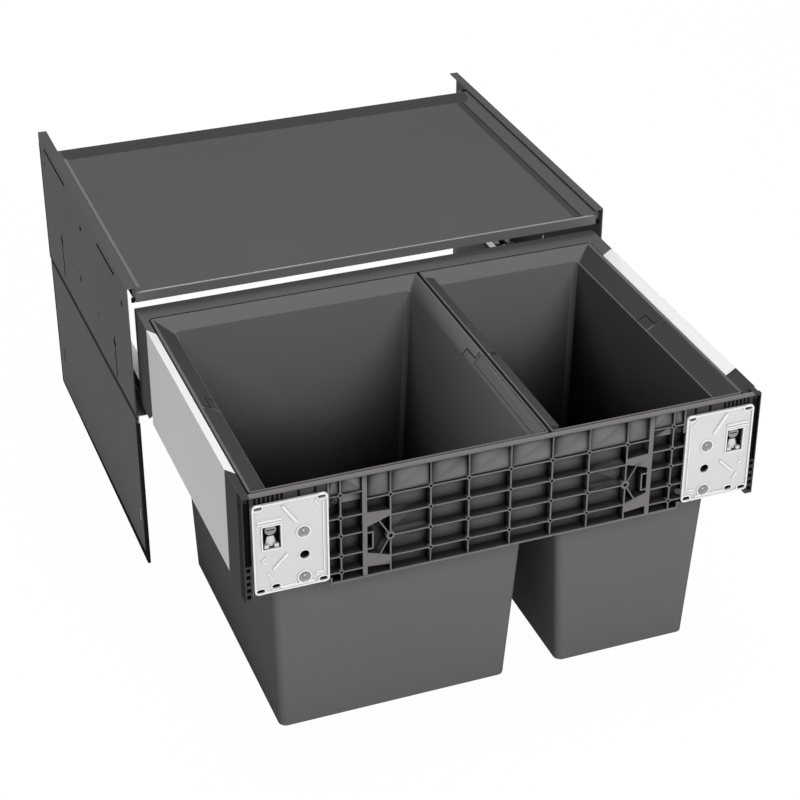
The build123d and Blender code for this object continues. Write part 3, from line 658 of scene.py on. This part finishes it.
def rod(bm, x, z, radius, y0, y1, segments=20):
    """Capped rod along y."""
    place = Matrix.Translation((x, (y0 + y1) / 2, z)) @ Matrix.Rotation(math.pi / 2, 4, "X")
    return bmesh.ops.create_cone(bm, cap_ends=True, segments=segments, radius1=radius, radius2=radius,
                                 depth=y1 - y0, matrix=place)["verts"]


def add_boss(bm, x, z, outer, bore, proud):
    """Round boss with a bore, its front face a little proud of the ribs."""
    verts = rod(bm, x, z, outer, front_y - proud, front_y + 4.0 * MM)
    bm.normal_update()
    cap = {f for v in verts for f in v.link_faces if f.normal.y < -0.9}.pop()
    bmesh.ops.inset_region(bm, faces=[cap], thickness=outer - bore, use_even_offset=True)
    pushed = bmesh.ops.extrude_discrete_faces(bm, faces=[cap])["faces"][0]
    bmesh.ops.translate(bm, verts=pushed.verts, vec=(0.0, 3.4 * MM + proud, 0.0))


bores, bosses = bmesh.new(), bmesh.new()
for x, z in crossings:
    rod(bores, x, z, BORE_CUT, front_y - TOOL_OUT, front_y + BORE_DEEP, 16)
    add_boss(bosses, x, z, *BOSS_SIZE)
for s, side in SIDES:
    add_boss(bosses, s * GUSSET_X, row_z[2], *HUB_SIZE)
new_piece("rib_bosses", bosses, "drawer", "frame_plastic", 0.15 * MM)
print("bosses", len(crossings) + len(SIDES))

# %% [markdown]
# The band above each plate lies deeper than its edge, and a comb of notches stands in it. A box in the
# same tool opens the band. A thin floor of darker plastic closes it as painted shade, and narrow
# near-black boxes are the comb, painting the shade in its notches.

# %% Comb above the plates
BAND_INNER, BAND_LOW = 188.0, 317.0
NOTCH_HALF = 1.2 * MM
comb_steps = (11.1, 27.3, 44.0, 48.4, 52.8, 57.2, 61.6, 66.0, 70.4)
band, notches = bmesh.new(), bmesh.new()
for s, side in SIDES:
    box_between(bores, (s * BAND_INNER * MM, front_y - TOOL_OUT, BAND_LOW * MM),
                (s * FRAME_END, front_y + 2.2 * MM, drawer_top - 2.3 * MM))
    box_between(band, (s * (BAND_INNER + 0.2) * MM, front_y + 1.9 * MM, (BAND_LOW + 0.2) * MM),
                (s * (FRAME_END - 0.2 * MM), front_y + 2.3 * MM, drawer_top - 2.5 * MM))
    for step in comb_steps:
        x = s * (BAND_INNER + 0.4 + step) * MM
        box_between(notches, (x - NOTCH_HALF, front_y + 1.5 * MM, (BAND_LOW + 0.4) * MM),
                    (x + NOTCH_HALF, front_y + 2.0 * MM, drawer_top - 2.6 * MM))
new_piece("comb_band_shade", band, "drawer", "dark_plastic", 0.1 * MM, dark_shade_plastic)
new_piece("comb_notch_shade", notches, "drawer", "dark_plastic", 0.1 * MM, shadow_black)
print("comb notches", len(comb_steps), "each side")

# %% [markdown]
# The tool now cuts the bores and bands out of the copy of the frame. Two planes split off its ends,
# which take the darker plastic that paints shade, each closed by a block behind its slots. The frame is
# shaded flat, because smooth shading leaves streaks on faces that a cut has divided.

# %% Front frame and its ends
BLOCK_INSET, BLOCK_LOW = 0.8 * MM, 226.0 * MM
block_front, block_back = front_y + 4.0 * MM, front_y + 13.6 * MM
whole = solid_copy("front_frame", bores)
for s, side in SIDES:
    plane = {"plane_co": (s * FRAME_END, 0, 0), "plane_no": (s, 0, 0)}
    end = whole.copy()
    bmesh.ops.bisect_plane(end, geom=end.verts[:] + end.edges[:] + end.faces[:], clear_inner=True, **plane)
    box_between(end, (s * (FRAME_END + 0.6 * MM), block_front, BLOCK_LOW),
                (s * (drawer_half - BLOCK_INSET), block_back, drawer_top - BLOCK_INSET))
    new_piece(side + "frame_end", end, "drawer", "dark_plastic", 0.2 * MM, dark_shade_plastic, smooth=False)
    bmesh.ops.bisect_plane(whole, geom=whole.verts[:] + whole.edges[:] + whole.faces[:], clear_outer=True,
                           **plane)
piece = new_piece("front_frame_rounded", whole, "drawer", "frame_plastic", 0.2 * MM, smooth=False)
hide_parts("front_frame")
print("front frame", len(piece.data.polygons), "faces before rounding")

# %% [markdown]
# The zinc plates are die-cast: a raised rim, beads round the window and the slots, and stiffening
# ribs. A ring starts as one square face whose corners are bevelled; an inset splits off the band, and
# an extrusion raises it. A bar is a cube drawn out between two points. Both could be cut from the plate
# with Booleans, but added relief leaves the plate's own faces clean.

# %% Rings and bars for the front plates
plate_mid = (plate_low + plate_high) / 2
plate_front = plate_low.y
WINDOW = (18.8, 12.1)                    # millimetres from the middle of the plate
RIVETS = ((-12.6, 11.6), (-12.6, -40.4))


def on_plate(s, point):
    """Place on a plate's front face, from millimetres off its middle towards the side and up."""
    return s * (plate_mid.x + point[0] * MM), plate_mid.z + point[1] * MM


def add_ring(bm, x, z, width, height, radius, band, proud):
    """Rounded rectangular ring on the plate's front face."""
    ring = bmesh.new()
    place = (Matrix.Translation((x, plate_front, z)) @ Matrix.Rotation(math.pi / 2, 4, "X")
             @ Matrix.Diagonal((width, height, 1.0, 1.0)))
    bmesh.ops.create_grid(ring, x_segments=1, y_segments=1, size=0.5, matrix=place)
    bmesh.ops.bevel(ring, geom=ring.verts[:], offset=radius, offset_type="OFFSET", segments=5,
                    profile=0.5, affect="VERTICES", material=-1)
    inner = ring.faces[:]
    bmesh.ops.inset_region(ring, faces=inner, thickness=band, use_even_offset=True, use_boundary=True)
    bmesh.ops.delete(ring, geom=inner, context="FACES_ONLY")
    raised = bmesh.ops.extrude_face_region(ring, geom=ring.faces[:])["geom"]
    bmesh.ops.translate(ring, verts=[v for v in raised if isinstance(v, bmesh.types.BMVert)],
                        vec=(0.0, -proud, 0.0))
    bmesh.ops.recalc_face_normals(ring, faces=ring.faces)
    spare = bpy.data.meshes.new("spare")
    ring.to_mesh(spare)
    ring.free()
    bm.from_mesh(spare)
    bpy.data.meshes.remove(spare)


def add_bar(bm, start, end, width, proud):
    """Raised bar between two points of the plate's front face."""
    run = Vector((end[0] - start[0], end[1] - start[1]))
    place = (Matrix.Translation(((start[0] + end[0]) / 2, plate_front, (start[1] + end[1]) / 2))
             @ Matrix.Rotation(-math.atan2(run.y, run.x), 4, "Y")
             @ Matrix.Diagonal((run.length, 2 * proud, width, 1.0)))
    bmesh.ops.create_cube(bm, size=1.0, matrix=place)


print("middle of the right plate", [round(v, 4) for v in plate_mid])

# %% [markdown]
# The bars and slots are listed once, in millimetres from the middle of the plate, and mirrored to the
# other plate by the sign of x.

# %% Relief of the front plates
plate_bars = [  # from, to, width, height
    ((33.0, 31.4), (8.0, 31.4), 1.6, 1.3), ((33.0, 28.2), (8.0, 28.2), 1.5, 1.1),
    ((7.6, 45.2), (-6.0, 24.4), 2.6, 1.4), ((3.8, -9.5), (18.6, -24.5), 2.2, 1.3),
    ((24.3, -27.6), (20.1, -34.5), 1.6, 1.0), ((-32.4, 41.0), (-32.4, -39.0), 1.2, 0.7),
    ((11.6, -46.9), (-22.0, -46.9), 2.2, 1.2), ((-24.6, 44.6), (-28.6, 38.2), 1.4, 0.8),
    ((-24.0, -38.4), (-31.0, -38.4), 1.8, 1.0), ((-24.0, -41.4), (-31.0, -41.4), 1.2, 0.8),
    ((25.2, -9.6), (29.6, -13.0), 1.5, 0.9), ((25.2, -16.4), (29.6, -13.0), 1.5, 0.9)]
slot_points = [(i * 31.4, j * 47.3) for i in (-1, 1) for j in (-1, 1)] + [(16.1, -44.5)]
plate_rings = [  # middle, width, height, corner radius, band, height of the relief
    ((0.0, 0.0), 75.0, 101.0, 4.0, 1.7, 1.2), (WINDOW, 20.6, 28.6, 1.2, 1.4, 0.8)]
plate_rings += [(point, 15.0, 15.0, 7.45, 1.5, 0.9) for point in RIVETS]
plate_rings += [((-13.2, -15.0), 12.0, 12.0, 5.95, 1.1, 0.5)]
plate_rings += [(point, 10.8, 7.6, 3.7, 1.3, 0.7) for point in slot_points]
for s, side in SIDES:
    relief = bmesh.new()
    for point, *sizes in plate_rings:
        add_ring(relief, *on_plate(s, point), *(size * MM for size in sizes))
    for start, end, width, proud in plate_bars:
        add_bar(relief, on_plate(s, start), on_plate(s, end), width * MM, proud * MM)
    # painted highlight: the relief takes a brighter zinc than the plate it stands on
    new_piece(side + "plate_relief", relief, "drawer", "zinc", 0.22 * MM, relief_highlight_zinc)
print("each plate has", len(plate_rings), "rings and", len(plate_bars), "bars")

# %% [markdown]
# Each plate is held by two rivets with a dished head: a bright middle in a ring. A profile of a few
# points is spun once round its axis, and the spun heads replace the plain screws of the solid model.

# %% Dished rivets
head_line = [  # radius, height over the plate
    (0.0, 1.5), (1.1, 1.4), (1.8, 0.8), (2.6, 0.35), (4.2, 0.5), (5.2, 1.2), (5.7, 1.2), (5.9, 0.0)]


def add_head(bm, x, z):
    """Rivet head, spun about its own axis."""
    line = [bm.verts.new((x + r * MM, plate_front - out * MM, z)) for r, out in head_line]
    edges = [bm.edges.new(pair) for pair in zip(line, line[1:])]
    bmesh.ops.spin(bm, geom=line + edges, cent=(x, plate_front, z), axis=(0.0, 1.0, 0.0),
                   angle=2 * math.pi, steps=32, use_merge=True)


for s, side in SIDES:
    heads = bmesh.new()
    for point in RIVETS:
        add_head(heads, *on_plate(s, point))
    bmesh.ops.remove_doubles(heads, verts=heads.verts, dist=MERGE)
    bmesh.ops.recalc_face_normals(heads, faces=heads.faces)
    piece = new_piece(side + "rivet_heads", heads, "drawer", "rail_steel", 0.0, dull_zinc)
    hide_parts(side + "plate_screws")
print("rivet heads", len(SIDES) * len(RIVETS))

# %% [markdown]
# In the window of each plate sits the hook that carries the front: a flared foot with two prongs below
# the adjusting screw. The foot is a cone pressed flat, and the prongs are boxes with rounded edges. A
# near-black lining closes the window behind them and paints its shade.

# %% Hook in the plate window
FLATNESS = 0.36
FOOT_WIDE, FOOT_NARROW, FOOT_TALL, FOOT_BELOW = 6.6 * MM, 3.4 * MM, 10.6 * MM, 6.4 * MM
PRONG_X, PRONG_HALF, PRONG_LOW, PRONG_HIGH = 5.0 * MM, 2.4 * MM, 12.4 * MM, 8.6 * MM
LINING_WIDE, LINING_TALL = 8.6 * MM, 12.6 * MM    # half sizes
for s, side in SIDES:
    hook, lining = bmesh.new(), bmesh.new()
    window_x, window_z = on_plate(s, WINDOW)
    place = (Matrix.Translation((window_x, front_y + 2.9 * MM, window_z - FOOT_BELOW))
             @ Matrix.Diagonal((1.0, FLATNESS, 1.0, 1.0)))
    bmesh.ops.create_cone(hook, cap_ends=True, segments=28, radius1=FOOT_WIDE, radius2=FOOT_NARROW,
                          depth=FOOT_TALL, matrix=place)
    for x in (window_x - PRONG_X, window_x + PRONG_X):
        box_between(hook, (x - PRONG_HALF, front_y - 1.6 * MM, window_z - PRONG_LOW),
                    (x + PRONG_HALF, front_y + 2.0 * MM, window_z - PRONG_HIGH))
    piece = new_piece(side + "front_hook", hook, "drawer", slot_of_node[side + "hook"], 0.5 * MM)
    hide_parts(side + "hook")
    nodes[side + "adjuster"].data.materials[0] = dull_zinc
    box_between(lining, (window_x - LINING_WIDE, front_y + 5.9 * MM, window_z - LINING_TALL),
                (window_x + LINING_WIDE, front_y + 6.5 * MM, window_z + LINING_TALL))
    new_piece(side + "window_shade", lining, "drawer", "dark_plastic", 0.1 * MM, shadow_black)
print("front hooks", 2, "linings", 2)

# %% [markdown]
# Behind the rollers each cabinet runner carries a bright latch that shows under the lid: two tabs with
# a hole between them, where a near-black box paints the shade. They stay below the roller cage, which
# passes over them.

# %% Latch on the runners
latch_front, latch_back = 221.0 * MM, 233.0 * MM
latch_low, latch_high = 199.4 * MM, 201.2 * MM
TAB_START, HOLE_START, HOLE_END, TAB_END = 248.6 * MM, 262.6 * MM, 268.6 * MM, 277.0 * MM
for s, side in SIDES:
    latch, hole = bmesh.new(), bmesh.new()
    for x0, x1, bm in ((TAB_START, HOLE_START, latch), (HOLE_END, TAB_END, latch),
                       (HOLE_START, HOLE_END, hole)):
        box_between(bm, (s * x0, latch_front, latch_low), (s * x1, latch_back, latch_high))
    new_piece(side + "latch_tabs", latch, "housing", "light_steel", 0.4 * MM)
    new_piece(side + "latch_hole_shade", hole, "housing", "dark_plastic", 0.4 * MM, shadow_black)
print("latches", 2)

# %% [markdown]
# The unit stands on a plain white floor. Rays from the camera, or mirrored by metal or glass on the way,
# see white, and the floor keeps a soft shadow. Light Path tells those rays apart in the floor's
# material and in the sky, so the white background adds no light to the unit.

# %% White floor
FLOOR_WHITE = 0.985    # share of plain white; the rest shows the shadow


def seen_straight(tree, link):
    """Value of 1 for the rays that should meet plain white: from the camera, metal or glass."""
    rays = tree.new("ShaderNodeLightPath")
    seen = rays.outputs["Is Camera Ray"]
    for name in ("Is Glossy Ray", "Is Transmission Ray"):
        either = tree.new("ShaderNodeMath")
        either.operation = "MAXIMUM"
        link.new(seen, either.inputs[0])
        link.new(rays.outputs[name], either.inputs[1])
        seen = either.outputs[0]
    return seen


def make_floor():
    """Floor that looks white and still takes a shadow."""
    bm = bmesh.new()
    bmesh.ops.create_grid(bm, x_segments=1, y_segments=1, size=30.0)
    mesh = bpy.data.meshes.new("floor")
    bm.to_mesh(mesh)
    bm.free()
    floor = bpy.data.objects.new("floor", mesh)
    bpy.context.collection.objects.link(floor)
    mat = bpy.data.materials.new("floor_white")
    mat.use_nodes = True
    tree, link = mat.node_tree.nodes, mat.node_tree.links
    shader = tree["Principled BSDF"]
    shader.inputs["Base Color"].default_value = (0.88, 0.88, 0.88, 1.0)
    shader.inputs["Roughness"].default_value = 0.9
    glow = tree.new("ShaderNodeEmission")
    share = tree.new("ShaderNodeMath")
    share.operation = "MULTIPLY"
    share.inputs[1].default_value = FLOOR_WHITE
    mix = tree.new("ShaderNodeMixShader")
    link.new(seen_straight(tree, link), share.inputs[0])
    link.new(share.outputs[0], mix.inputs["Fac"])
    link.new(shader.outputs[0], mix.inputs[1])
    link.new(glow.outputs[0], mix.inputs[2])
    link.new(mix.outputs[0], tree["Material Output"].inputs["Surface"])
    mesh.materials.append(mat)
    return floor


print("floor", make_floor().name)

# %% [markdown]
# A pale sky lights every side. Three broad lamps, in front, overhead and behind, keep the light at a
# level at which a colour looks about as written, a little brighter on the tops and fronts.

# %% Sky and lamps
def make_sky(strength):
    """World of even light that looks white."""
    world = bpy.data.worlds.new("studio")
    world.use_nodes = True
    tree, link = world.node_tree.nodes, world.node_tree.links
    sky = tree["Background"]
    sky.inputs["Color"].default_value = (1.0, 1.0, 1.0, 1.0)
    sky.inputs["Strength"].default_value = strength
    white = tree.new("ShaderNodeBackground")
    mix = tree.new("ShaderNodeMixShader")
    link.new(seen_straight(tree, link), mix.inputs["Fac"])
    link.new(sky.outputs[0], mix.inputs[1])
    link.new(white.outputs[0], mix.inputs[2])
    link.new(mix.outputs[0], tree["World Output"].inputs["Surface"])
    bpy.context.scene.world = world


def make_lamp(name, place, target, size, watts):
    """Square lamp that looks at a target."""
    data = bpy.data.lights.new(name, "AREA")
    data.shape = "SQUARE"
    data.size = size
    data.energy = watts
    lamp = bpy.data.objects.new(name, data)
    lamp.location = place
    lamp.rotation_euler = (Vector(target) - Vector(place)).to_track_quat("-Z", "Y").to_euler()
    bpy.context.collection.objects.link(lamp)


make_sky(0.16)
make_lamp("key", (0.3, -2.4, 1.75), (0.0, -0.2, 0.3), 1.2, 44.0)
make_lamp("overhead", (0.0, 0.1, 3.0), (0.0, 0.0, 0.3), 1.6, 42.0)
make_lamp("rear_fill", (0.2, 2.8, 1.5), (0.0, 0.0, 0.3), 1.4, 26.0)
bpy.context.scene.view_settings.view_transform = "Standard"
print("lamps", len(bpy.data.lights))

# %% [markdown]
# The camera stands where the photograph was taken from: to the left, well above the drawer, with a long
# lens. Its place was fitted to the corners of the panels, the drawer and the plates.

# %% Camera
VIEW_AZIMUTH, VIEW_ELEVATION = -20.689, 30.854
CAMERA_X, CAMERA_Y, CAMERA_Z = -0.68665, -1.90071, 1.36815    # y from the panel fronts
SENSOR, FOCAL = 36.0, 91.53
cam_data = bpy.data.cameras.new("camera")
cam_data.sensor_width = SENSOR
cam_data.lens = FOCAL
cam_data.clip_end = 100.0
cam = bpy.data.objects.new("camera", cam_data)
cam.location = (CAMERA_X, panel_front + CAMERA_Y, CAMERA_Z)
cam.rotation_euler = (math.radians(90.0 - VIEW_ELEVATION), 0.0, math.radians(VIEW_AZIMUTH))
bpy.context.collection.objects.link(cam)
bpy.context.scene.camera = cam
print("camera", [round(v, 4) for v in cam.location])
